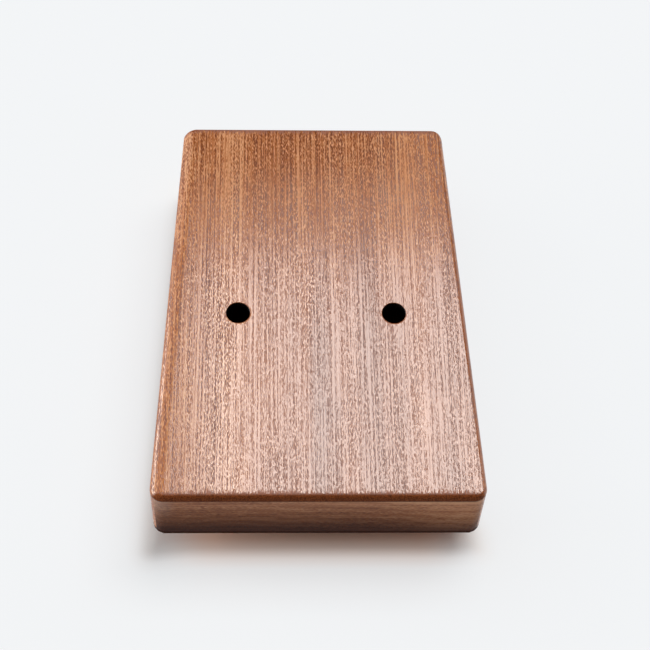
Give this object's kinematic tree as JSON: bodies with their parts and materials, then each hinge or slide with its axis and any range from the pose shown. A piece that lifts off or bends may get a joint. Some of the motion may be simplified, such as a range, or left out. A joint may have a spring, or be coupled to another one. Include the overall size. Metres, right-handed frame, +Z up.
{
  "type": "kalimba",
  "caption": "Hollow wooden box thumb piano lying face down, with finger holes in its back and plucked spring steel tines clamped over a bridge on its soundboard.",
  "frame": {"origin": "on the ground under the middle of the box, with the instrument lying face down on its tine tips and screw heads", "axes": "+Z up out of the back panel, +Y towards the head end where the bridge is, +X across the tines"},
  "size_m": [0.1354, 0.185, 0.0476],
  "materials": {
    "mahogany": "satin lacquer over open grain",
    "spruce": "bare",
    "rosewood": "oiled",
    "steel": "polished",
    "spring_steel": "fine brushed"
  },
  "bodies": {
    "box": {"back_panel": "mahogany", "front_panel": "mahogany", "left_wall": "mahogany", "right_wall": "mahogany", "head_wall": "mahogany", "tail_wall": "mahogany", "corner_blocks": "spruce", "bridge_brace": "spruce", "bridge_block": "rosewood", "front_saddle": "steel", "rear_saddle": "steel", "pressure_bar": "steel", "pressure_screws": "steel"},
    "tine_01": {"tine_01": "spring_steel"},
    "tine_02": {"tine_02": "spring_steel"},
    "tine_03": {"tine_03": "spring_steel"},
    "tine_04": {"tine_04": "spring_steel"},
    "tine_05": {"tine_05": "spring_steel"},
    "tine_06": {"tine_06": "spring_steel"},
    "tine_07": {"tine_07": "spring_steel"},
    "tine_08": {"tine_08": "spring_steel"},
    "tine_09": {"tine_09": "spring_steel"},
    "tine_10": {"tine_10": "spring_steel"},
    "tine_11": {"tine_11": "spring_steel"},
    "tine_12": {"tine_12": "spring_steel"},
    "tine_13": {"tine_13": "spring_steel"},
    "tine_14": {"tine_14": "spring_steel"},
    "tine_15": {"tine_15": "spring_steel"},
    "tine_16": {"tine_16": "spring_steel"},
    "tine_17": {"tine_17": "spring_steel"}
  },
  "joints": [
    {"name": "tine_01_pluck", "type": "hinge", "parent": "box", "child": "tine_01", "pos_m": [0.048, 0.0415, 0.0076], "axis": [-1, 0, 0], "range_deg": [-1, 3], "stiffness_Nm_per_rad": 0.1865},
    {"name": "tine_02_pluck", "type": "hinge", "parent": "box", "child": "tine_02", "pos_m": [0.042, 0.0415, 0.0076], "axis": [-1, 0, 0], "range_deg": [-1, 3], "stiffness_Nm_per_rad": 0.171},
    {"name": "tine_03_pluck", "type": "hinge", "parent": "box", "child": "tine_03", "pos_m": [0.036, 0.0415, 0.0076], "axis": [-1, 0, 0], "range_deg": [-1, 3], "stiffness_Nm_per_rad": 0.1524},
    {"name": "tine_04_pluck", "type": "hinge", "parent": "box", "child": "tine_04", "pos_m": [0.03, 0.0415, 0.0076], "axis": [-1, 0, 0], "range_deg": [-1, 3], "stiffness_Nm_per_rad": 0.1397},
    {"name": "tine_05_pluck", "type": "hinge", "parent": "box", "child": "tine_05", "pos_m": [0.024, 0.0415, 0.0076], "axis": [-1, 0, 0], "range_deg": [-1, 3], "stiffness_Nm_per_rad": 0.1245},
    {"name": "tine_06_pluck", "type": "hinge", "parent": "box", "child": "tine_06", "pos_m": [0.018, 0.0415, 0.0076], "axis": [-1, 0, 0], "range_deg": [-1, 3], "stiffness_Nm_per_rad": 0.1141},
    {"name": "tine_07_pluck", "type": "hinge", "parent": "box", "child": "tine_07", "pos_m": [0.012, 0.0415, 0.0076], "axis": [-1, 0, 0], "range_deg": [-1, 3], "stiffness_Nm_per_rad": 0.1017},
    {"name": "tine_08_pluck", "type": "hinge", "parent": "box", "child": "tine_08", "pos_m": [0.006, 0.0415, 0.0076], "axis": [-1, 0, 0], "range_deg": [-1, 3], "stiffness_Nm_per_rad": 0.0933},
    {"name": "tine_09_pluck", "type": "hinge", "parent": "box", "child": "tine_09", "pos_m": [0, 0.0415, 0.0076], "axis": [-1, 0, 0], "range_deg": [-1, 3], "stiffness_Nm_per_rad": 0.088},
    {"name": "tine_10_pluck", "type": "hinge", "parent": "box", "child": "tine_10", "pos_m": [-0.006, 0.0415, 0.0076], "axis": [-1, 0, 0], "range_deg": [-1, 3], "stiffness_Nm_per_rad": 0.0988},
    {"name": "tine_11_pluck", "type": "hinge", "parent": "box", "child": "tine_11", "pos_m": [-0.012, 0.0415, 0.0076], "axis": [-1, 0, 0], "range_deg": [-1, 3], "stiffness_Nm_per_rad": 0.1077},
    {"name": "tine_12_pluck", "type": "hinge", "parent": "box", "child": "tine_12", "pos_m": [-0.018, 0.0415, 0.0076], "axis": [-1, 0, 0], "range_deg": [-1, 3], "stiffness_Nm_per_rad": 0.1209},
    {"name": "tine_13_pluck", "type": "hinge", "parent": "box", "child": "tine_13", "pos_m": [-0.024, 0.0415, 0.0076], "axis": [-1, 0, 0], "range_deg": [-1, 3], "stiffness_Nm_per_rad": 0.1319},
    {"name": "tine_14_pluck", "type": "hinge", "parent": "box", "child": "tine_14", "pos_m": [-0.03, 0.0415, 0.0076], "axis": [-1, 0, 0], "range_deg": [-1, 3], "stiffness_Nm_per_rad": 0.1438},
    {"name": "tine_15_pluck", "type": "hinge", "parent": "box", "child": "tine_15", "pos_m": [-0.036, 0.0415, 0.0076], "axis": [-1, 0, 0], "range_deg": [-1, 3], "stiffness_Nm_per_rad": 0.1614},
    {"name": "tine_16_pluck", "type": "hinge", "parent": "box", "child": "tine_16", "pos_m": [-0.042, 0.0415, 0.0076], "axis": [-1, 0, 0], "range_deg": [-1, 3], "stiffness_Nm_per_rad": 0.176},
    {"name": "tine_17_pluck", "type": "hinge", "parent": "box", "child": "tine_17", "pos_m": [-0.048, 0.0415, 0.0076], "axis": [-1, 0, 0], "range_deg": [-1, 3], "stiffness_Nm_per_rad": 0.1976}
  ]
}
